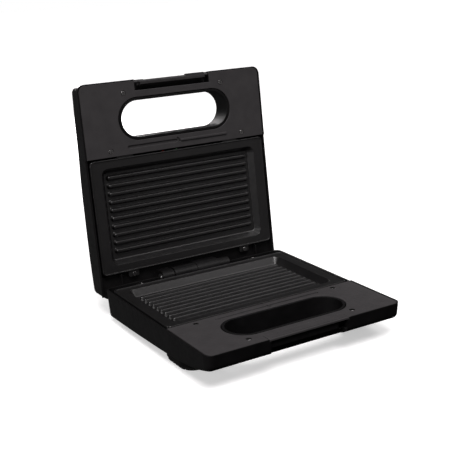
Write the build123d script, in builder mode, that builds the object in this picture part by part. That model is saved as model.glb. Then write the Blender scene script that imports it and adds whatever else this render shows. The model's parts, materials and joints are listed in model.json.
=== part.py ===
"""Contact grill (panini press), standing open.

Each half is laid out on its own frame: x across, y from the handle's front edge
to the rear (called s below), z from the parting plane out through the casing
(called h below). The base's frame faces down and the lid's frame is swung open
about the hinge, so one set of sizes serves both halves. All sizes in millimetres.
"""
import os
from math import cos, radians, sin

from build123d import *

# Place of the two halves
DECK_TOP = 40.0  # base parting plane above the floor
FRONT_Y = -142.86  # front edge of the base deck
OPEN_ANGLE = 97.2
CLOSED_GAP = 0.6  # between the two parting planes when shut
HINGE_S, HINGE_DROP = 231.2, 4.5  # hinge axis: from the front edge, below the base's parting plane

# Casings: crowns are (s, h) points of the outer face's side view
HALF_WIDTH = 119.55
FRONT_LIP = -1.2
BASE_REAR, LID_REAR = 229.6, 243.7
WALL = 2.4
DRAFT = 4
CORNER, EDGE = 9.0, 6.5
CROWN_SPAN = 250.0
THROUGH = 50.0  # deeper than either casing
BASE_CROWN = [
    (-8, 12.5), (12, 20.6), (30, 25.2), (50, 28.4), (78, 31.0), (120, 33.0), (170, 34.6), (220, 35.4),
    (252, 35.6),
]
LID_CROWN = [
    (-8, 21.0), (15, 23.6), (41, 26.0), (78, 28.0), (101, 31.0), (145, 33.8), (186, 34.9), (222, 33.8),
    (252, 30.2),
]

# Handle: slot, sleeve round it, deck that covers the hollow
SLOT_S, SLOT_X, SLOT_R = 43.3, 70.1, 20.8
SLEEVE_X, SLEEVE_R = 73.0, 23.5
DECK_X, DECK_LENGTH, DECK_THICK = 117.3, 82.8, 2.2
DECK_CORNER, DECK_GAP = 7.6, 0.25
DECK_SCREWS = [(-64, 13.2), (64, 13.2), (-87.3, 76.2), (87.3, 76.2)]
BULKHEAD_S = 79.2
STEAM_S, STEAM_X, STEAM_LENGTH = 74.3, 33.9, 64.6
STEAM_RIB, STEAM_CHANNEL = (2.5, 1.3), (3.8, 1.3)  # width, height or depth

# Front notch with its pocket, finger scoop, latch clip and catch bar
NOTCH_X, NOTCH_DEPTH = 49.3, 11.5
BASE_POCKET, LID_POCKET = 2.5, 13.8
CHEEK = 2.2
SCOOP_X, SCOOP_DEPTH, SCOOP_CORNER = 47.0, 1.8, 1.7
BASE_SCOOP_TOP, LID_SCOOP_TOP = 10.5, 15.2
BASE_SCOOP_START, LID_SCOOP_START = -47.0, -31.0
WINDOW_X, WINDOW_LENGTH = 42.5, 10.0
LATCH_S, LATCH_H = 2.0, 3.6  # clip's pivot
LATCH_START, LATCH_END = -41.0, 44.0
LUG_START, LUG_END = 19.5, 43.0
LATCH_PIN_R = 1.0
CATCH_LIP = -1.0
PEGS = [(-30, 9.0), (30, 9.0)]  # of the catch bar

# Grill plates
PLATE_X, PLATE_FRONT, PLATE_REAR, PLATE_CORNER = 115.2, 84.9, 216.5, 5.0
PLATE_S = (PLATE_FRONT + PLATE_REAR) / 2
RIM_DROP, FLANGE = 0.8, 2.5
CASING_STEP = 1.2  # casing's rim round the plate, below the parting plane
BEAD_WIDTH, BEAD_HEIGHT = 1.7, 0.7
TROUGH_LENGTH, TROUGH_WIDTH, TROUGH_CORNER = 204.0, 111.5, 8.0
TROUGH_DEPTH, TROUGH_TAPER, PLATE_SKIN = 8.0, 32, 2.4
RIB_COUNT, RIB_FIRST, RIB_PITCH = 10, 106.4, 9.44
RIB_LENGTH, RIB_WIDTH, RIB_HEIGHT, RIB_TAPER, RIB_ROUND = 189.0, 6.8, 3.5, 27, 1.1
TAB_X, TAB_S = 76.0, 220.6
PLATE_TABS = [(-TAB_X, TAB_S), (TAB_X, TAB_S)]
PLATE_BACK = RIM_DROP + TROUGH_DEPTH + PLATE_SKIN

# Heating parts behind each plate
TUBE_R = 3.2
TUBE_H = PLATE_BACK + TUBE_R + 0.05
TUBE_FRONT, TUBE_BACK, TUBE_SIDE, TUBE_END, TUBE_GAP = 120.0, 181.0, 82.0, 212.2, 12.0
POSTS = [(-48, 139), (48, 139), (-48, 162), (48, 162)]
TRAY_X, TRAY_FRONT, TRAY_REAR = 97.0, 102.0, 199.5
TRAY_OPEN, TRAY_FLOOR, TRAY_SKIN = 12.6, 19.7, 0.7

# Hinge
PIN_R, PIN_FIT, PIN_HALF = 2.5, 0.05, 47.8
WASHER_R = 5.2
KNUCKLES = [(-46.0, -30.5, 8.2), (0.0, 30.5, 9.6)]  # start, end and radius of one half's own
KNUCKLE_GAP = 0.4
SHELF_H, SHELF_THICK = 6.0, 2.2

# Feet, gland, terminal block and lenses
LEG_X, LEG_S, LEG_SIZE, LEG_CORNER = 93.2, 81.0, (38.0, 56.0), 17.0
REAR_FOOT_X, REAR_FOOT_S, REAR_FOOT_R = 84.0, 202.0, 12.0
LEG_ROOT, FOOT_TOP = 26.0, 36.4
FRONT_FEET = [(-LEG_X, LEG_S), (LEG_X, LEG_S)]
REAR_FEET = [(-REAR_FOOT_X, REAR_FOOT_S), (REAR_FOOT_X, REAR_FOOT_S)]
GLAND_X, GLAND_H, GLAND_R, CORD_R, GLAND_PAD = 84.0, 25.5, 6.3, 3.7, 230.6
BLOCK_X, BLOCK_S, BLOCK_H = -54.0, 211.2, 16.0
LENS_X, LENS_S, LENS_R, LENS_TOP = 9.0, 90.0, 3.5, 30.2
CARRIER_H = 13.0

base_frame = Plane(origin=(0, FRONT_Y, DECK_TOP), x_dir=(-1, 0, 0), z_dir=(0, 0, -1))


def opened(angle):
    """The lid's frame, swung open by an angle from flat on the base."""
    turn = radians(angle)
    ahead, above = -HINGE_S, CLOSED_GAP + HINGE_DROP
    y = FRONT_Y + HINGE_S + ahead * cos(turn) + above * sin(turn)
    z = DECK_TOP - HINGE_DROP - ahead * sin(turn) + above * cos(turn)
    return Plane(origin=(0, y, z), x_dir=(1, 0, 0), z_dir=(0, sin(turn), cos(turn)))


lid_frame = opened(OPEN_ANGLE)
hinge_in_base = (HINGE_S, HINGE_DROP)
hinge_in_lid = (HINGE_S, -HINGE_DROP - CLOSED_GAP)


def side(frame, x):
    """Plane of a half's side view at x: s runs across it, h up it."""
    return Plane(origin=frame.origin + frame.x_dir * x, x_dir=frame.y_dir, z_dir=frame.x_dir)


def facing_back(frame, s):
    """Upright plane across a half at s, facing its front: x runs across it, h up it."""
    return Plane(origin=frame.origin + frame.y_dir * s, x_dir=frame.x_dir, z_dir=-frame.y_dir)


def outward(frame):
    """Axis from the parting plane out through a half's casing."""
    return Axis(frame.origin, frame.z_dir)


def save(piece, label):
    """Names a finished piece and writes its STEP file."""
    piece.label = label
    export_step(piece, f"parts/{label}.step")


# ---------------------------------------------------------------- casings


def casing_block(frame, crown, rear, inset=0.0):
    """A half as a solid block, drafted walls under a crowned outer face, set in by inset."""
    with BuildPart() as block:
        with BuildSketch(frame):
            with Locations((0, (rear + FRONT_LIP) / 2)):
                RectangleRounded(
                    2 * (HALF_WIDTH - inset), rear - FRONT_LIP - 2 * inset, CORNER - inset
                )
        extrude(amount=THROUGH, taper=DRAFT)
        with BuildSketch(side(frame, -CROWN_SPAN / 2)):
            with BuildLine():
                curve = Spline(*[(s, h - inset) for s, h in crown])
                Polyline(curve @ 1, (crown[-1][0], -5), (crown[0][0], -5), curve @ 0)
            make_face()
        extrude(amount=CROWN_SPAN, mode=Mode.INTERSECT)
        outer_face = block.faces().sort_by(outward(frame))[-1]
        fillet(outer_face.edges(), EDGE - inset)
    return block.part


def tub(frame, crown, rear, pocket, scoop_start, scoop_top):
    """The hollow casing that both halves share: walls, slot sleeve, bosses, notch pocket and scoop."""
    outer = casing_block(frame, crown, rear)
    inner_width = 2 * (HALF_WIDTH - WALL)
    with BuildPart() as casing:
        add(outer)
        add(casing_block(frame, crown, rear, WALL), mode=Mode.SUBTRACT)
        # sleeve round the handle slot
        with BuildSketch(frame):
            with Locations((0, SLOT_S)):
                SlotOverall(2 * SLEEVE_X, 2 * SLEEVE_R)
        extrude(amount=THROUGH)
        # screw bosses, bulkhead under the deck's rear edge, walls round the pocket
        with BuildSketch(frame.offset(DECK_THICK + 0.1)):
            with Locations(*DECK_SCREWS):
                Circle(4)
            with Locations((0, BULKHEAD_S)):
                Rectangle(inner_width, 1.8)
            with Locations((0, (NOTCH_DEPTH + CHEEK) / 2)):
                Rectangle(2 * (NOTCH_X + CHEEK), NOTCH_DEPTH + CHEEK)
        extrude(amount=THROUGH)
        with BuildSketch(frame.offset(RIM_DROP + 3.3)):
            with Locations(*PLATE_TABS):
                Circle(3.6)
        extrude(amount=THROUGH)
        add(outer, mode=Mode.INTERSECT)
        # handle slot right through
        with BuildSketch(frame.offset(-1)):
            with Locations((0, SLOT_S)):
                SlotOverall(2 * SLOT_X, 2 * SLOT_R)
        extrude(amount=THROUGH, mode=Mode.SUBTRACT)
        # rebate for the deck, leaving the sleeve standing up to the parting plane
        with BuildSketch(frame) as rebate:
            with Locations((0, DECK_LENGTH / 2 + 0.1)):
                Rectangle(2 * (DECK_X + DECK_GAP), DECK_LENGTH + 0.3)
            fillet(rebate.vertices().group_by(Axis.Y)[0], DECK_CORNER + DECK_GAP)
            with Locations((0, SLOT_S)):
                SlotOverall(2 * SLEEVE_X, 2 * SLEEVE_R, mode=Mode.SUBTRACT)
        extrude(amount=DECK_THICK + 0.1, mode=Mode.SUBTRACT)
        # rim round the grill plate, a step below the deck
        with BuildSketch(frame.offset(-0.5)):
            with Locations((0, DECK_LENGTH + 0.25 + 100)):
                Rectangle(CROWN_SPAN, 200)
        extrude(amount=CASING_STEP + 0.5, mode=Mode.SUBTRACT)
        # notch pocket, open at the front
        with BuildSketch(frame.offset(-1)):
            with Locations((0, NOTCH_DEPTH / 2 - 4)):
                Rectangle(2 * NOTCH_X, NOTCH_DEPTH + 8)
        extrude(amount=pocket + 1, mode=Mode.SUBTRACT)
        # finger scoop: front face set back, and its outer edge cut away
        with BuildSketch(frame.offset(pocket - 0.5)):
            with Locations(((SCOOP_X + scoop_start) / 2, SCOOP_DEPTH - 8)):
                RectangleRounded(SCOOP_X - scoop_start, 16, SCOOP_CORNER)
        extrude(amount=THROUGH, mode=Mode.SUBTRACT)
        with BuildSketch(side(frame, scoop_start + SCOOP_CORNER)):
            Polygon((-5, scoop_top), (SCOOP_DEPTH, scoop_top), (15, 28), (-5, 28), align=None)
        extrude(amount=SCOOP_X - scoop_start - 2 * SCOOP_CORNER, mode=Mode.SUBTRACT)
        # pilot holes for the deck and plate screws
        with BuildSketch(frame):
            with Locations(*DECK_SCREWS):
                Circle(1.45)
            with Locations(*PLATE_TABS):
                Circle(1.45)
        extrude(amount=13, mode=Mode.SUBTRACT)
    return casing.part


def knuckle_spans():
    """Spans across x and radii of a half's own knuckles, each a little short at both ends."""
    return [(start + KNUCKLE_GAP, end - KNUCKLE_GAP, radius) for start, end, radius in KNUCKLES]


def partner_spans():
    """Spans across x and radii of the room that the other half's knuckles turn in."""
    return [(-end - KNUCKLE_GAP, -start + KNUCKLE_GAP, radius + 0.5) for start, end, radius in KNUCKLES]


with BuildPart() as base_shell:
    add(tub(base_frame, BASE_CROWN, BASE_REAR, BASE_POCKET, BASE_SCOOP_START, BASE_SCOOP_TOP))
    # room for the lid's knuckles in the rear wall
    for start, end, radius in partner_spans():
        with BuildSketch(side(base_frame, start)):
            with Locations(hinge_in_base):
                Circle(radius)
            with Locations((HINGE_S, HINGE_DROP - 10)):
                Rectangle(2 * radius, 20)
        extrude(amount=end - start, mode=Mode.SUBTRACT)
    for x in (-PIN_HALF - 0.3, 45.5):
        with BuildSketch(side(base_frame, x)):
            with Locations(hinge_in_base):
                Circle(WASHER_R + 0.5)
            with Locations((HINGE_S, HINGE_DROP - 10)):
                Rectangle(2 * WASHER_R + 1, 20)
        extrude(amount=PIN_HALF + 0.3 - 45.5, mode=Mode.SUBTRACT)
    # knuckles on posts that run down into the floor
    for start, end, radius in knuckle_spans():
        with BuildSketch(side(base_frame, start)):
            with Locations(hinge_in_base):
                Circle(radius)
            Polygon(
                (HINGE_S - radius, HINGE_DROP), (HINGE_S - radius, 33), (BASE_REAR - 2.4, 33),
                (BASE_REAR - 0.8, 24), (HINGE_S + 2.4, 14.5), (HINGE_S + 2.4, HINGE_DROP), align=None,
            )
        extrude(amount=end - start)
    # stops that the open lid leans on
    for x in (-64, 56):
        with BuildSketch(side(base_frame, x)):
            Polygon((226.7, 10), (235.9, 13.6), (235.5, 17), (226.7, 25), align=None)
        extrude(amount=8)
    # window into the hollow, and the hollow behind the scoop
    with BuildSketch(side(base_frame, -WINDOW_X - WINDOW_LENGTH / 2)):
        with Locations((2, 7.5)):
            Rectangle(12, 9)
    extrude(amount=WINDOW_LENGTH, mode=Mode.SUBTRACT)
    with BuildSketch(base_frame.offset(BASE_POCKET + 2)):
        with Locations((0, (NOTCH_DEPTH + 7) / 2)):
            Rectangle(2 * NOTCH_X, NOTCH_DEPTH - 7)
    extrude(amount=9.5, mode=Mode.SUBTRACT)
    # front legs and rear legs
    with BuildSketch(base_frame.offset(LEG_ROOT)):
        with Locations(*FRONT_FEET):
            RectangleRounded(*LEG_SIZE, LEG_CORNER)
        with Locations(*REAR_FEET):
            Circle(REAR_FOOT_R + 1.5)
    extrude(amount=FOOT_TOP - LEG_ROOT)
    # pad on the rear wall that the gland's flange sits on
    with BuildSketch(facing_back(base_frame, GLAND_PAD)):
        with Locations((-GLAND_X, GLAND_H)):
            Circle(8)
    extrude(amount=7)
    # holes: catch bar's pegs, hinge pin, gland, foot plugs, and vents under the heater
    with BuildSketch(base_frame):
        with Locations(*PEGS):
            Circle(1.55)
    extrude(amount=7, mode=Mode.SUBTRACT)
    with BuildSketch(side(base_frame, -60)):
        with Locations(hinge_in_base):
            Circle(PIN_R + 0.02)
    extrude(amount=120, mode=Mode.SUBTRACT)
    with BuildSketch(facing_back(base_frame, GLAND_PAD + 1)):
        with Locations((-GLAND_X, GLAND_H)):
            Circle(GLAND_R)
    extrude(amount=12, mode=Mode.SUBTRACT)
    with BuildSketch(base_frame.offset(FOOT_TOP)):
        with Locations(*FRONT_FEET, *REAR_FEET):
            Circle(3.1)
    extrude(amount=-4, mode=Mode.SUBTRACT)
    with BuildSketch(base_frame.offset(PLATE_BACK)):
        for s in (130, 164):
            with Locations((0, s)):
                with GridLocations(9, 1, 13, 1):
                    SlotOverall(24, 3, rotation=90)
    extrude(amount=THROUGH, mode=Mode.SUBTRACT)

with BuildPart() as lid_shell:
    add(tub(lid_frame, LID_CROWN, LID_REAR, LID_POCKET, LID_SCOOP_START, LID_SCOOP_TOP))
    # shelf behind the plate that carries the knuckles, a wall in front of it, and two ribs
    with BuildSketch(lid_frame.offset(SHELF_H)):
        with Locations((0, 230.2)):
            Rectangle(2 * (HALF_WIDTH - WALL), 23.2)
    extrude(amount=SHELF_THICK)
    with BuildSketch(lid_frame.offset(SHELF_H)):
        with Locations((0, 219.5)):
            Rectangle(2 * (HALF_WIDTH - WALL) - 1.5, 1.8)
    extrude(amount=19)
    with BuildSketch(lid_frame.offset(CASING_STEP)):
        with Locations((-92.5, 230.2), (92.5, 230.2)):
            Rectangle(1.6, 23.2)
    extrude(amount=SHELF_H)
    for start, end, radius in knuckle_spans():
        with BuildSketch(side(lid_frame, start)):
            with Locations(hinge_in_lid):
                Circle(radius)
            with Locations((HINGE_S, (hinge_in_lid[1] + SHELF_H + 1) / 2)):
                Rectangle(2 * radius, SHELF_H + 1 - hinge_in_lid[1])
        extrude(amount=end - start)
    with BuildSketch(side(lid_frame, -60)):
        with Locations(hinge_in_lid):
            Circle(PIN_R + PIN_FIT)
    extrude(amount=120, mode=Mode.SUBTRACT)
    # plate screws' pilot holes, bores for the latch pin in the cheeks, holes for the two lenses
    with BuildSketch(lid_frame):
        with Locations(*PLATE_TABS):
            Circle(1.45)
    extrude(amount=13, mode=Mode.SUBTRACT)
    with BuildSketch(side(lid_frame, -NOTCH_X - 1.9)):
        with Locations((LATCH_S, LATCH_H)):
            Circle(LATCH_PIN_R + 0.02)
    extrude(amount=2 * (NOTCH_X + 1.9), mode=Mode.SUBTRACT)
    with BuildSketch(lid_frame.offset(15)):
        with Locations((-LENS_X, LENS_S), (LENS_X, LENS_S)):
            Circle(LENS_R + 0.1)
    extrude(amount=20, mode=Mode.SUBTRACT)
    # posts that hold the lamp carrier
    with BuildSketch(lid_frame.offset(CARRIER_H + 1.6)):
        with Locations((-14.5, LENS_S), (14.5, LENS_S)):
            Circle(1.5)
    extrude(amount=LENS_TOP - 2.5 - CARRIER_H - 1.6)

# ---------------------------------------------------------------- decks, screws, latch


def deck(frame):
    """Cover panel of a handle, with its slot, front notch, steam rib and steam channel."""
    with BuildPart() as panel:
        with BuildSketch(frame) as face:
            with Locations((0, DECK_LENGTH / 2)):
                Rectangle(2 * DECK_X, DECK_LENGTH)
            fillet(face.vertices().group_by(Axis.Y)[0], DECK_CORNER)
            with Locations((0, SLOT_S)):
                SlotOverall(2 * (SLEEVE_X + 0.8), 2 * (SLEEVE_R + 0.8), mode=Mode.SUBTRACT)
            with Locations((0, NOTCH_DEPTH / 2 - 1)):
                Rectangle(2 * NOTCH_X, NOTCH_DEPTH + 2, mode=Mode.SUBTRACT)
        extrude(amount=DECK_THICK)
        chamfer(panel.faces().sort_by(outward(frame))[0].edges(), 0.35)
        with BuildSketch(frame):
            with Locations((STEAM_X, STEAM_S)):
                SlotOverall(STEAM_LENGTH - 1.6, STEAM_RIB[0])
        extrude(amount=-STEAM_RIB[1])
        fillet(panel.faces().sort_by(outward(frame))[0].edges(), 0.4)
        with BuildSketch(frame):
            with Locations((-STEAM_X, STEAM_S)):
                SlotOverall(STEAM_LENGTH, STEAM_CHANNEL[0])
            with Locations((0, STEAM_S - 0.9)):
                SlotOverall(6.5, 2.4, rotation=60)
        extrude(amount=STEAM_CHANNEL[1], mode=Mode.SUBTRACT)
        with BuildSketch(frame):
            with Locations(*DECK_SCREWS):
                Circle(3.1)
        extrude(amount=1.6, mode=Mode.SUBTRACT)
        with BuildSketch(frame):
            with Locations(*DECK_SCREWS):
                Circle(1.7)
        extrude(amount=DECK_THICK, mode=Mode.SUBTRACT)
    return panel.part


def screws(plane, points, head_r, head, shank_r, length):
    """Cross-head screws driven along the plane's z, with the tops of their heads on the plane."""
    with BuildPart() as group:
        with BuildSketch(plane):
            with Locations(*points):
                Circle(head_r)
        extrude(amount=head)
        fillet(group.faces().sort_by(outward(plane))[: len(points)].edges(), 0.35)
        with BuildSketch(plane):
            with Locations(*points):
                Circle(shank_r)
        extrude(amount=length)
        with BuildSketch(plane):
            with Locations(*points):
                Rectangle(1.25 * head_r, 0.3 * head_r)
                Rectangle(0.3 * head_r, 1.25 * head_r)
        extrude(amount=0.6 * head, mode=Mode.SUBTRACT)
    return group.part


def catch_bar():
    """Bar that fills the base's notch; the clip hooks under its front lip."""
    with BuildPart() as bar:
        with BuildSketch(base_frame.offset(-0.1)):
            with Locations((0, (NOTCH_DEPTH - 0.2 + CATCH_LIP) / 2)):
                Rectangle(2 * NOTCH_X - 0.6, NOTCH_DEPTH - 0.2 - CATCH_LIP)
        extrude(amount=BASE_POCKET - 0.05)
        with BuildSketch(base_frame.offset(2.0)):
            with Locations((0, CATCH_LIP / 2 + SCOOP_DEPTH / 2 - 0.6)):
                Rectangle(2 * NOTCH_X, SCOOP_DEPTH - CATCH_LIP - 0.2)
        extrude(amount=3, mode=Mode.SUBTRACT)
        top = bar.faces().sort_by(outward(base_frame))[0]
        fillet(top.edges(), 0.5)
        with BuildSketch(base_frame.offset(-0.2)):
            with Locations((0, 1.7)):
                Rectangle(2 * NOTCH_X - 4, 0.5)
        extrude(amount=0.5, mode=Mode.SUBTRACT)
        with BuildSketch(base_frame.offset(2)):
            with Locations(*PEGS):
                Circle(1.5)
        extrude(amount=3.5)
    return bar.part


def latch_clip():
    """Clip on its pin in the lid's notch: a long barrel, a plate, a hooked nose and a thumb lug."""
    with BuildPart() as clip:
        with BuildSketch(side(lid_frame, LATCH_START)):
            with Locations((LATCH_S, LATCH_H)):
                Circle(1.9)
            Polygon((2.0, 0.8), (5.0, 0.8), (7.2, 4.0), (7.2, 6.2), (2.0, 5.5), align=None)
            Polygon((5.2, 5.0), (7.2, 5.0), (7.2, 12.5), (3.2, 12.5), (3.2, 10.7), (5.2, 10.7), align=None)
        extrude(amount=LATCH_END - LATCH_START)
        rearward = Axis(lid_frame.origin, lid_frame.y_dir + lid_frame.z_dir)
        fillet(clip.edges().filter_by(Axis.X).sort_by(rearward)[-1], 1.5)
        with BuildSketch(side(lid_frame, LUG_START)):
            Polygon((-1.2, 1.2), (2.2, 0.9), (2.2, 6.3), (-0.2, 6.3), (-1.2, 5.4), align=None)
        extrude(amount=LUG_END - LUG_START)
        with BuildSketch(side(lid_frame, -NOTCH_X + 0.4)):
            with Locations((LATCH_S, LATCH_H)):
                Circle(1.8)
        extrude(amount=2 * NOTCH_X - 0.8)
        with BuildSketch(side(lid_frame, -NOTCH_X)):
            with Locations((LATCH_S, LATCH_H)):
                Circle(LATCH_PIN_R + 0.08)
        extrude(amount=2 * NOTCH_X, mode=Mode.SUBTRACT)
    return clip.part


# ---------------------------------------------------------------- grill plates and heaters


def plate_ribs(root, frame):
    """The row of ribs on a trough's floor, tapered and rounded along their crests."""
    with BuildPart() as ribs:
        with BuildSketch(root):
            with Locations((0, RIB_FIRST + RIB_PITCH * (RIB_COUNT - 1) / 2)):
                with GridLocations(1, RIB_PITCH, 1, RIB_COUNT):
                    SlotOverall(RIB_LENGTH, RIB_WIDTH)
        extrude(amount=-RIB_HEIGHT - 0.3, taper=RIB_TAPER)
        fillet(ribs.faces().sort_by(outward(frame))[:RIB_COUNT].edges(), RIB_ROUND)
    return ribs.part


def grill_plate(frame):
    """Ribbed plate: flange with a raised bead, a sunk trough, ribs, rear tabs and screw posts."""
    rim = frame.offset(RIM_DROP)
    ribs = plate_ribs(frame.offset(RIM_DROP + TROUGH_DEPTH + 0.3), frame)
    with BuildPart() as plate:
        with BuildSketch(rim):
            with Locations((0, PLATE_S)):
                RectangleRounded(2 * PLATE_X, PLATE_REAR - PLATE_FRONT, PLATE_CORNER)
        extrude(amount=FLANGE)
        with BuildSketch(rim):
            with Locations((0, PLATE_S)):
                RectangleRounded(
                    TROUGH_LENGTH + 2 * PLATE_SKIN,
                    TROUGH_WIDTH + 2 * PLATE_SKIN,
                    TROUGH_CORNER + PLATE_SKIN,
                )
        extrude(amount=TROUGH_DEPTH + PLATE_SKIN, taper=TROUGH_TAPER - 4)
        with BuildSketch(rim):
            with Locations((0, PLATE_S)):
                RectangleRounded(TROUGH_LENGTH, TROUGH_WIDTH, TROUGH_CORNER)
        extrude(amount=TROUGH_DEPTH, taper=TROUGH_TAPER, mode=Mode.SUBTRACT)
        trough_floor = plate.faces().filter_by(frame).sort_by(outward(frame))[2]
        fillet(trough_floor.edges(), 1.8)
        add(ribs)
        # bead round the edge
        with BuildSketch(rim):
            with Locations((0, PLATE_S)):
                RectangleRounded(2 * PLATE_X, PLATE_REAR - PLATE_FRONT, PLATE_CORNER)
                RectangleRounded(
                    2 * (PLATE_X - BEAD_WIDTH), PLATE_REAR - PLATE_FRONT - 2 * BEAD_WIDTH,
                    PLATE_CORNER - BEAD_WIDTH, mode=Mode.SUBTRACT,
                )
        extrude(amount=-BEAD_HEIGHT)
        fillet(plate.faces().sort_by(outward(frame))[0].edges(), 0.5)
        # rear tabs, front tongues that tuck under the deck, posts for the reflector's screws
        with BuildSketch(rim.offset(FLANGE - 1)):
            with Locations((-TAB_X, TAB_S - 1.4), (TAB_X, TAB_S - 1.4)):
                RectangleRounded(13, 9.2, 2)
            with Locations((-70, PLATE_FRONT), (70, PLATE_FRONT)):
                Rectangle(20, 7)
        extrude(amount=1.7)
        with BuildSketch(frame):
            with Locations(*PLATE_TABS):
                Circle(1.75)
        extrude(amount=8, mode=Mode.SUBTRACT)
        with BuildSketch(frame.offset(PLATE_BACK - 0.5)):
            with Locations(*POSTS):
                Circle(3.6)
        extrude(amount=TRAY_FLOOR - PLATE_BACK + 0.5)
        with BuildSketch(frame.offset(TRAY_FLOOR)):
            with Locations(*POSTS):
                Circle(1.45)
        extrude(amount=-8, mode=Mode.SUBTRACT)
    return plate.part


def heating_element(frame):
    """Sheathed heating tube bent into a loop, with a thin terminal pin at each end."""
    corners = [
        (-TUBE_GAP, TUBE_END), (-TUBE_GAP, TUBE_BACK), (-TUBE_SIDE, TUBE_BACK), (-TUBE_SIDE, TUBE_FRONT),
        (TUBE_SIDE, TUBE_FRONT), (TUBE_SIDE, TUBE_BACK), (TUBE_GAP, TUBE_BACK), (TUBE_GAP, TUBE_END),
    ]
    level = frame.offset(TUBE_H)
    with BuildPart() as element:
        with BuildLine(level) as route:
            FilletPolyline(*corners, radius=11)
        with BuildSketch(Plane(origin=route.line @ 0, z_dir=route.line % 0)):
            Circle(TUBE_R)
        sweep()
        with BuildSketch(facing_back(frame, TUBE_END - 2)):
            with Locations((-TUBE_GAP, TUBE_H), (TUBE_GAP, TUBE_H)):
                Circle(1.2)
        extrude(amount=-8)
    return element.part


def reflector(frame):
    """Thin pressed tray behind the heating element."""
    middle = (0, (TRAY_FRONT + TRAY_REAR) / 2)
    with BuildPart() as tray:
        with BuildSketch(frame.offset(TRAY_OPEN)):
            with Locations(middle):
                RectangleRounded(2 * TRAY_X + 10, TRAY_REAR - TRAY_FRONT + 6, 9)
        extrude(amount=TRAY_SKIN)
        with BuildSketch(frame.offset(TRAY_OPEN)):
            with Locations(middle):
                RectangleRounded(2 * TRAY_X, TRAY_REAR - TRAY_FRONT, 6)
        extrude(amount=TRAY_FLOOR + TRAY_SKIN - TRAY_OPEN)
        with BuildSketch(frame.offset(TRAY_OPEN)):
            with Locations(middle):
                RectangleRounded(2 * (TRAY_X - TRAY_SKIN), TRAY_REAR - TRAY_FRONT - 2 * TRAY_SKIN, 5.3)
        extrude(amount=TRAY_FLOOR - TRAY_OPEN, mode=Mode.SUBTRACT)
        with BuildSketch(frame.offset(TRAY_OPEN - 1)):
            with Locations((0, TRAY_REAR)):
                Rectangle(2 * TUBE_GAP + 16, 12)
        extrude(amount=TUBE_H + TUBE_R + 1.6 - TRAY_OPEN, mode=Mode.SUBTRACT)
        with BuildSketch(frame.offset(TRAY_OPEN)):
            with Locations(*POSTS):
                Circle(1.8)
        extrude(amount=10, mode=Mode.SUBTRACT)
    return tray.part


# ---------------------------------------------------------------- small parts


def rubber_feet(points, outline_r, size=None):
    """Pads under the legs, each with a plug and a grooved tread."""
    with BuildPart() as pads:
        with BuildSketch(base_frame.offset(FOOT_TOP)):
            with Locations(*points):
                if size:
                    RectangleRounded(*size, outline_r)
                else:
                    Circle(outline_r)
        extrude(amount=DECK_TOP - FOOT_TOP)
        with BuildSketch(base_frame.offset(FOOT_TOP)):
            with Locations(*points):
                Circle(3.0)
        extrude(amount=-3.6)
        with BuildSketch(base_frame.offset(DECK_TOP)):
            with Locations(*points):
                with GridLocations(1, 6, 1, 3 if size is None else 7):
                    Rectangle(2 * LEG_SIZE[0], 1.4)
        extrude(amount=-1.4, mode=Mode.SUBTRACT)
    return pads.part


with BuildPart() as hinge_pin:
    with BuildSketch(side(lid_frame, -PIN_HALF)):
        with Locations(hinge_in_lid):
            Circle(PIN_R)
    extrude(amount=2 * PIN_HALF)
    chamfer(hinge_pin.edges().filter_by(GeomType.CIRCLE), 0.5)

with BuildPart() as hinge_washers:
    for x in (-46.8, 46.2):
        with BuildSketch(side(lid_frame, x)):
            with Locations(hinge_in_lid):
                Circle(WASHER_R)
                Circle(PIN_R + 0.02, mode=Mode.SUBTRACT)
        extrude(amount=0.6)

with BuildPart() as latch_pin:
    with BuildSketch(side(lid_frame, -NOTCH_X - 1.8)):
        with Locations((LATCH_S, LATCH_H)):
            Circle(LATCH_PIN_R)
    extrude(amount=2 * (NOTCH_X + 1.8))

with BuildPart() as cord_gland:
    with BuildSketch(facing_back(base_frame, GLAND_PAD + 1.8)):
        with Locations((-GLAND_X, GLAND_H)):
            Circle(7.4)
    extrude(amount=1.8)
    fillet(cord_gland.edges().sort_by(Axis.Y)[-1], 0.8)
    with BuildSketch(facing_back(base_frame, GLAND_PAD)):
        with Locations((-GLAND_X, GLAND_H)):
            Circle(GLAND_R - 0.05)
    extrude(amount=8)
    with BuildSketch(facing_back(base_frame, GLAND_PAD + 3)):
        with Locations((-GLAND_X, GLAND_H)):
            Circle(CORD_R)
    extrude(amount=14, mode=Mode.SUBTRACT)

with BuildPart() as terminal_block:
    with BuildSketch(base_frame.offset(BLOCK_H)):
        with Locations((BLOCK_X, BLOCK_S)):
            RectangleRounded(30, 12, 1.5)
    extrude(amount=12)
    with BuildSketch(base_frame.offset(BLOCK_H)):
        with Locations((BLOCK_X, BLOCK_S)):
            with GridLocations(10, 1, 3, 1):
                Circle(1.8)
    extrude(amount=5, mode=Mode.SUBTRACT)

with BuildPart() as lead_wires:
    # crimp sleeves on the element's terminal pins, each with a wire down to the block
    with BuildSketch(facing_back(base_frame, TUBE_END + 5.8)):
        with Locations((-TUBE_GAP, TUBE_H), (TUBE_GAP, TUBE_H)):
            Circle(2.1)
            Circle(1.22, mode=Mode.SUBTRACT)
    extrude(amount=5)
    for x, level in ((-TUBE_GAP, 22.5), (TUBE_GAP, 25.5)):
        route = [(x, TUBE_H + 1.7), (x, level), (BLOCK_X + 15.1, level)]
        with BuildLine() as wire:
            FilletPolyline(
                *[base_frame.from_local_coords(Vector(across, TUBE_END + 3, h)) for across, h in route],
                radius=4,
            )
        with BuildSketch(Plane(origin=wire.line @ 0, z_dir=wire.line % 0)):
            Circle(1.1)
        sweep()

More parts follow.
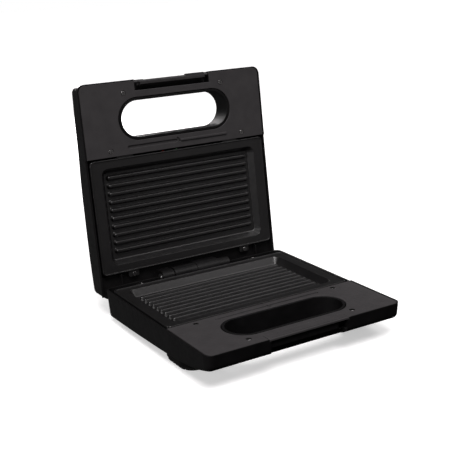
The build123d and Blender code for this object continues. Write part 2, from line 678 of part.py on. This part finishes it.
with BuildPart() as thermostat:
    with BuildSketch(base_frame.offset(PLATE_BACK + 0.05)):
        with Locations((0, 150.5)):
            Circle(8)
    extrude(amount=6)
    with BuildSketch(base_frame.offset(PLATE_BACK + 3)):
        with Locations((0, 150.5)):
            Rectangle(24, 3)
    extrude(amount=0.8)

with BuildPart() as thermal_fuse:
    with BuildSketch(side(base_frame, 24)):
        with Locations((207.4, TUBE_H)):
            Circle(2)
    extrude(amount=11)
    with BuildSketch(side(base_frame, 20)):
        with Locations((207.4, TUBE_H)):
            Circle(0.5)
    extrude(amount=19)

with BuildPart() as indicator_lamps:
    with BuildSketch(lid_frame.offset(CARRIER_H + 1.6)):
        with Locations((-LENS_X, LENS_S), (LENS_X, LENS_S)):
            Circle(2.4)
    extrude(amount=9)
    fillet(indicator_lamps.faces().sort_by(outward(lid_frame))[-2:].edges(), 1.6)

with BuildPart() as lamp_carrier:
    with BuildSketch(lid_frame.offset(CARRIER_H)):
        with Locations((0, LENS_S)):
            RectangleRounded(34, 6.4, 1)
    extrude(amount=1.6)


def lens(x):
    """Domed indicator lens, snapped into the lid's outer face from inside."""
    with BuildPart() as cap:
        with BuildSketch(lid_frame.offset(LENS_TOP - 4.2)):
            with Locations((x, LENS_S)):
                Circle(LENS_R)
        extrude(amount=4.2)
        fillet(cap.faces().sort_by(outward(lid_frame))[-1].edges(), 1.0)
    return cap.part


# ---------------------------------------------------------------- write the parts

os.makedirs("parts", exist_ok=True)
for half, frame in (("base", base_frame), ("lid", lid_frame)):
    save(deck(frame), f"{half}_deck")
    save(screws(frame.offset(0.05), DECK_SCREWS, 2.75, 1.5, 1.4, 11), f"{half}_deck_screws")
    save(grill_plate(frame), f"{half}_grill_plate")
    save(screws(frame.offset(RIM_DROP - 0.2), PLATE_TABS, 2.7, 1.6, 1.4, 12), f"{half}_plate_screws")
    save(heating_element(frame), f"{half}_heating_element")
    save(reflector(frame), f"{half}_reflector")

save(base_shell.part, "base_shell")
save(lid_shell.part, "lid_shell")
save(catch_bar(), "catch_bar")
save(latch_clip(), "latch_clip")
save(latch_pin.part, "latch_pin")
save(hinge_pin.part, "hinge_pin")
save(hinge_washers.part, "hinge_washers")
save(rubber_feet(FRONT_FEET, 15.6, (35.2, 53.2)), "front_feet")
save(rubber_feet(REAR_FEET, REAR_FOOT_R), "rear_feet")
save(cord_gland.part, "cord_gland")
save(terminal_block.part, "terminal_block")
save(lead_wires.part, "lead_wires")
save(thermostat.part, "thermostat")
save(thermal_fuse.part, "thermal_fuse")
save(indicator_lamps.part, "indicator_lamps")
save(lamp_carrier.part, "lamp_carrier")
save(lens(-LENS_X), "power_lens")
save(lens(LENS_X), "ready_lens")
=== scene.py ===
"""Looks of the open panini press: materials, small surface details, light and camera.

Everything is in metres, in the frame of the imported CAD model: -Y is the front,
+Z is up and the floor is at z = 0.
"""
import json
from math import cos, radians, sin

import bmesh
import bpy
from mathutils import Matrix, Vector

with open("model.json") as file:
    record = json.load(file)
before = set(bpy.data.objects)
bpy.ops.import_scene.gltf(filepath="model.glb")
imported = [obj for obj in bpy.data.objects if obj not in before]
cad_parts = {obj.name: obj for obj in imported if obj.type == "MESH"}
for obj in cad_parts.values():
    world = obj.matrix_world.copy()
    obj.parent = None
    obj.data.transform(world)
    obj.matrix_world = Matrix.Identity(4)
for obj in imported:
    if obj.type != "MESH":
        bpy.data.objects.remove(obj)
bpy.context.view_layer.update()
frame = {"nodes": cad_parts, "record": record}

# ------------------------------------------------------------------ material tools


def set_range(node, start, end, low, high):
    """Sets a Map Range node to turn start..end into low..high."""
    for socket, value in (("From Min", start), ("From Max", end), ("To Min", low), ("To Max", high)):
        node.inputs[socket].default_value = value


class Surface:
    """A procedural material, built up layer by layer on one Principled shader."""

    def __init__(self, name, **constants):
        self.material = bpy.data.materials.new(name)
        self.material.use_nodes = True
        self.tree = self.material.node_tree
        self.shader = self.tree.nodes["Principled BSDF"]
        for socket, value in constants.items():
            self.shader.inputs[socket.replace("_", " ")].default_value = value
        self.place = self.node("ShaderNodeTexCoord").outputs["Object"]

    def node(self, kind, **settings):
        """A new node, with its settings."""
        made = self.tree.nodes.new(kind)
        for key, value in settings.items():
            setattr(made, key, value)
        return made

    def link(self, source, target):
        self.tree.links.new(source, target)

    def stretched(self, stretch):
        """Object coordinates multiplied along each axis."""
        mapping = self.node("ShaderNodeMapping")
        mapping.inputs["Scale"].default_value = stretch
        self.link(self.place, mapping.inputs["Vector"])
        return mapping.outputs["Vector"]

    def noise(self, grain, detail=3.0, stretch=None):
        """Noise whose blotches are about grain metres across."""
        texture = self.node("ShaderNodeTexNoise")
        texture.inputs["Scale"].default_value = 1 / grain
        texture.inputs["Detail"].default_value = detail
        self.link(self.stretched(stretch) if stretch else self.place, texture.inputs["Vector"])
        return texture.outputs["Fac"]

    def cells(self, grain):
        """Voronoi distance with cells about grain metres across."""
        texture = self.node("ShaderNodeTexVoronoi")
        texture.inputs["Scale"].default_value = 1 / grain
        self.link(self.place, texture.inputs["Vector"])
        return texture.outputs["Distance"]

    def ranged(self, factor, low, high, start=0.3, end=0.7):
        """A factor mapped from start..end to low..high."""
        spread = self.node("ShaderNodeMapRange")
        set_range(spread, start, end, low, high)
        self.link(factor, spread.inputs["Value"])
        return spread.outputs["Result"]

    def mixed(self, colour, factor, start, end):
        """Mix node that turns the base colour into the given one from start to end of a factor."""
        mix = self.node("ShaderNodeMix", data_type="RGBA")
        mix.inputs["B"].default_value = (*colour, 1)
        self.link(self.ranged(factor, 0, 1, start, end), mix.inputs["Factor"])
        self.link(mix.outputs["Result"], self.shader.inputs["Base Color"])
        return mix

    def tint(self, dark, light, factor, start=0.3, end=0.7):
        """Colour that runs from dark to light with a factor; becomes the base colour."""
        mix = self.mixed(light, factor, start, end)
        mix.inputs["A"].default_value = (*dark, 1)
        self.colour = mix.outputs["Result"]

    def fleck(self, colour, factor, start, end):
        """Lays a second colour over the first where the factor runs from start to end."""
        mix = self.mixed(colour, factor, start, end)
        self.link(self.colour, mix.inputs["A"])
        self.colour = mix.outputs["Result"]

    def rough(self, factor, low, high):
        """Roughness that varies from low to high with a factor."""
        self.link(self.ranged(factor, low, high), self.shader.inputs["Roughness"])

    def soften(self, radius):
        """Rounds the look of sharp edges by a radius in metres."""
        rounding = self.node("ShaderNodeBevel", samples=6)
        rounding.inputs["Radius"].default_value = radius
        self.link(rounding.outputs["Normal"], self.shader.inputs["Normal"])

    def bump(self, factor, height, strength=1.0):
        """Relief of a given height in metres; stacks on the relief already there."""
        relief = self.node("ShaderNodeBump")
        relief.inputs["Strength"].default_value = strength
        relief.inputs["Distance"].default_value = height
        self.link(factor, relief.inputs["Height"])
        before = self.shader.inputs["Normal"].links
        if before:
            self.link(before[0].from_socket, relief.inputs["Normal"])
        self.link(relief.outputs["Normal"], self.shader.inputs["Normal"])


def casing_surface():
    """Black moulded plastic with a fine spark-eroded grain."""
    made = Surface("casing_black", Specular_IOR_Level=0.22)
    made.tint((0.0042, 0.0040, 0.0042), (0.0075, 0.0070, 0.0074), made.noise(0.018, 4))
    made.rough(made.noise(0.006), 0.34, 0.46)
    made.soften(0.0006)
    made.bump(made.noise(0.0007, 2), 0.00004, 0.5)
    made.bump(made.noise(0.03, 1), 0.0002, 0.3)
    return made.material


def deck_surface():
    """Charcoal moulded plastic, matte, with a fine leathery grain."""
    made = Surface("deck_charcoal", Specular_IOR_Level=0.3)
    made.tint((0.041, 0.0385, 0.040), (0.050, 0.0470, 0.0485), made.noise(0.014, 5))
    made.rough(made.noise(0.004), 0.50, 0.62)
    made.soften(0.0004)
    made.bump(made.cells(0.0009), 0.00005, 0.45)
    made.bump(made.noise(0.0004, 2), 0.00003, 0.4)
    return made.material


def plate_surface():
    """Grey-black non-stick coating with a mineral fleck and a slight orange peel."""
    made = Surface("non_stick_coating", Specular_IOR_Level=0.85)
    made.tint((0.0040, 0.0037, 0.0039), (0.0072, 0.0067, 0.0070), made.noise(0.02, 5))
    made.fleck((0.035, 0.033, 0.034), made.cells(0.0022), 0.15, 0.05)
    made.rough(made.noise(0.005, 4), 0.31, 0.41)
    made.soften(0.0005)
    made.bump(made.noise(0.0012, 3), 0.00005, 0.5)
    return made.material


def clip_surface():
    """Satin dark grey clip plastic."""
    made = Surface("clip_satin", Specular_IOR_Level=0.45)
    made.tint((0.028, 0.0265, 0.0275), (0.038, 0.036, 0.037), made.noise(0.01, 4))
    made.rough(made.noise(0.003), 0.30, 0.40)
    made.soften(0.0004)
    made.bump(made.noise(0.0006, 2), 0.00003, 0.4)
    return made.material


def rubber_surface(name, dark, light):
    """Dull rubber with a dusty bloom."""
    made = Surface(name, Specular_IOR_Level=0.3)
    made.tint(dark, light, made.noise(0.005, 5))
    made.rough(made.noise(0.002), 0.72, 0.9)
    made.bump(made.noise(0.0005, 3), 0.00006, 0.5)
    return made.material


def steel_surface(name, dark, light, low, high, stretch):
    """Metal with a fine grain, drawn into lines along the axis with the smallest stretch."""
    grain = 0.0006
    made = Surface(name, Metallic=1.0)
    lines = made.noise(grain, 2, stretch)
    made.tint(dark, light, lines)
    made.rough(lines, low, high)
    made.bump(lines, 0.00002, 0.4)
    made.bump(made.noise(0.004, 3), 0.00004, 0.2)
    return made.material


def heater_surface():
    """Heating tube's sheath, straw and blue-grey where it has been hot."""
    made = Surface("heater_sheath", Metallic=1.0)
    made.tint((0.16, 0.14, 0.12), (0.36, 0.33, 0.30), made.noise(0.012, 4))
    made.fleck((0.12, 0.13, 0.17), made.noise(0.03, 2), 0.52, 0.68)
    made.rough(made.noise(0.003, 3), 0.38, 0.6)
    made.bump(made.noise(0.0008, 2), 0.00003, 0.4)
    return made.material


def moulded_surface(name, dark, light):
    """Pale electrical moulding."""
    made = Surface(name, Specular_IOR_Level=0.4)
    made.tint(dark, light, made.noise(0.006, 4))
    made.rough(made.noise(0.002), 0.45, 0.6)
    made.bump(made.noise(0.0005, 2), 0.00003, 0.4)
    return made.material


def lens_surface(name, deep, bright):
    """Clear coloured lens with a prism pattern inside."""
    made = Surface(name, IOR=1.49, Transmission_Weight=0.35, Coat_Weight=0.6, Coat_Roughness=0.04)
    prisms = made.cells(0.0009)
    made.tint(deep, bright, prisms, 0.1, 0.6)
    made.rough(made.noise(0.001, 2), 0.08, 0.2)
    made.bump(prisms, 0.0001, 0.35)
    return made.material


def glass_surface():
    """Neon lamp's glass envelope."""
    made = Surface("lamp_glass", IOR=1.5, Transmission_Weight=0.9)
    made.tint((0.85, 0.80, 0.72), (0.95, 0.93, 0.90), made.noise(0.002, 2))
    made.rough(made.noise(0.001, 2), 0.02, 0.1)
    return made.material


def grey(value):
    """Neutral colour."""
    return (value, value, value)


looks = {
    "casing": casing_surface(),
    "deck": deck_surface(),
    "clip": clip_surface(),
    "non_stick_plate": plate_surface(),
    "heater": heater_surface(),
    "reflector": steel_surface(
        "reflector_sheet", grey(0.5), grey(0.66), 0.2, 0.34, stretch=(1, 30, 30)
    ),
    "thermostat": steel_surface(
        "thermostat_can", (0.5, 0.5, 0.52), (0.62, 0.62, 0.64), 0.3, 0.42, stretch=(20, 20, 1)
    ),
    "terminal_block": moulded_surface("terminal_block", (0.62, 0.60, 0.53), (0.72, 0.70, 0.64)),
    "wire_sleeve": rubber_surface("wire_sleeve", (0.48, 0.48, 0.45), (0.6, 0.6, 0.57)),
    "gland": rubber_surface("gland_black", grey(0.008), grey(0.014)),
    "foot_rubber": rubber_surface("foot_rubber", (0.010, 0.010, 0.010), (0.022, 0.021, 0.021)),
    "hinge_steel": steel_surface(
        "hinge_steel", grey(0.34), grey(0.5), 0.25, 0.4, stretch=(1, 25, 25)
    ),
    "screw_steel": steel_surface(
        "screw_steel", (0.20, 0.195, 0.195), (0.34, 0.33, 0.33), 0.16, 0.28, stretch=(20, 20, 20)
    ),
    "red_lens": lens_surface("red_lens", (0.30, 0.006, 0.004), (0.62, 0.02, 0.012)),
    "green_lens": lens_surface("green_lens", (0.01, 0.20, 0.03), (0.03, 0.48, 0.08)),
    "lamp_glass": glass_surface(),
}

slot_of = {part["node"]: part["material_slot"] for part in frame["record"]["subparts"]}
for node, piece in frame["nodes"].items():
    for material_slot in piece.material_slots:
        material_slot.material = looks[slot_of[node]]

# ------------------------------------------------------------------ floor, light, camera

WARM_WHITE = (1.0, 0.97, 0.975)


def pale_floor():
    """A large plain floor just under the feet, a little self-lit, that doesn't tint the press."""
    mesh = bpy.data.meshes.new("floor")
    work = bmesh.new()
    bmesh.ops.create_grid(work, x_segments=1, y_segments=1, size=6)
    work.to_mesh(mesh)
    work.free()
    floor = bpy.data.objects.new("floor", mesh)
    bpy.context.collection.objects.link(floor)
    floor.location.z = -0.0002
    made = Surface("pale_floor", Specular_IOR_Level=0.1)
    made.tint(grey(0.86), grey(0.89), made.noise(0.4, 2))
    made.rough(made.noise(0.05), 0.8, 0.9)
    made.shader.inputs["Emission Color"].default_value = (1, 1, 1, 1)
    made.shader.inputs["Emission Strength"].default_value = 0.5
    floor.data.materials.append(made.material)
    floor.visible_diffuse = False
    floor.visible_glossy = False


def softbox(name, place, aim, size, watts):
    """A square area light aimed at a point."""
    lamp = bpy.data.lights.new(name, "AREA")
    lamp.shape = "SQUARE"
    lamp.size = size
    lamp.energy = watts
    lamp.color = WARM_WHITE
    holder = bpy.data.objects.new(name, lamp)
    bpy.context.collection.objects.link(holder)
    holder.location = place
    holder.rotation_euler = (Vector(aim) - Vector(place)).to_track_quat("-Z", "Y").to_euler()


def sky(dark, bright, towards):
    """Studio surroundings: the press gets a brighter and a darker side, the camera sees plain white."""
    world = bpy.data.worlds.new("studio")
    world.use_nodes = True
    tree = world.node_tree
    background = tree.nodes["Background"]
    background.inputs["Color"].default_value = (1, 1, 1, 1)
    coordinates = tree.nodes.new("ShaderNodeTexCoord")
    slope = tree.nodes.new("ShaderNodeVectorMath")
    slope.operation = "DOT_PRODUCT"
    slope.inputs[1].default_value = Vector(towards).normalized()
    tree.links.new(coordinates.outputs["Generated"], slope.inputs[0])
    fade = tree.nodes.new("ShaderNodeMapRange")
    fade.interpolation_type = "SMOOTHSTEP"
    set_range(fade, -0.6, 0.9, dark, bright)
    tree.links.new(slope.outputs["Value"], fade.inputs["Value"])
    rays = tree.nodes.new("ShaderNodeLightPath")
    seen = tree.nodes.new("ShaderNodeMix")
    seen.inputs["B"].default_value = 1.0
    tree.links.new(rays.outputs["Is Camera Ray"], seen.inputs["Factor"])
    tree.links.new(fade.outputs["Result"], seen.inputs["A"])
    tree.links.new(seen.outputs["Result"], background.inputs["Strength"])
    bpy.context.scene.world = world


def sun(name, place, softness, strength):
    """Even light from the direction of a place, blurred over softness degrees."""
    lamp = bpy.data.lights.new(name, "SUN")
    lamp.angle = radians(softness)
    lamp.energy = strength
    lamp.color = WARM_WHITE
    holder = bpy.data.objects.new(name, lamp)
    bpy.context.collection.objects.link(holder)
    holder.rotation_euler = (-Vector(place)).to_track_quat("-Z", "Y").to_euler()


def photo_camera():
    """Camera at the three-quarter view from the front left, a little above the press."""
    place = Vector((-0.5066, -0.8305, 0.4030))
    azimuth, elevation, roll = radians(-31.13), radians(16.78), radians(-1.92)
    ahead = Vector((-sin(azimuth) * cos(elevation), cos(azimuth) * cos(elevation), -sin(elevation)))
    level_right = ahead.cross(Vector((0, 0, 1))).normalized()
    level_up = level_right.cross(ahead)
    right = cos(roll) * level_right + sin(roll) * level_up
    up = cos(roll) * level_up - sin(roll) * level_right
    lens = bpy.data.cameras.new("camera")
    lens.sensor_width = 36
    lens.lens = 72.93
    camera = bpy.data.objects.new("camera", lens)
    bpy.context.collection.objects.link(camera)
    turn = Matrix((right, up, -ahead)).transposed().to_4x4()
    camera.matrix_world = Matrix.Translation(place) @ turn
    bpy.context.scene.camera = camera


pale_floor()
sun("key", place=(-0.25, -0.5, 1.0), softness=30, strength=2.35)
softbox("upper_right", place=(0.8, -0.6, 1.2), aim=(0, 0, 0.05), size=0.7, watts=3.5)
softbox("above", place=(0.7, 0.45, 1.3), aim=(0, 0.1, 0.15), size=0.6, watts=1.5)
softbox("front_right", place=(0.9, -1.5, 0.15), aim=(0, 0.1, 0.15), size=0.8, watts=0.5)
softbox("left", place=(-1.3, -0.5, 0.5), aim=(0, 0, 0.15), size=0.35, watts=4)
softbox("behind", place=(0.25, 1.4, 0.35), aim=(0, 0.15, 0.12), size=0.4, watts=8)
sky(dark=0.002, bright=0.10, towards=(-0.9, 0.35, 0.3))
photo_camera()
bpy.context.scene.view_settings.view_transform = "Standard"
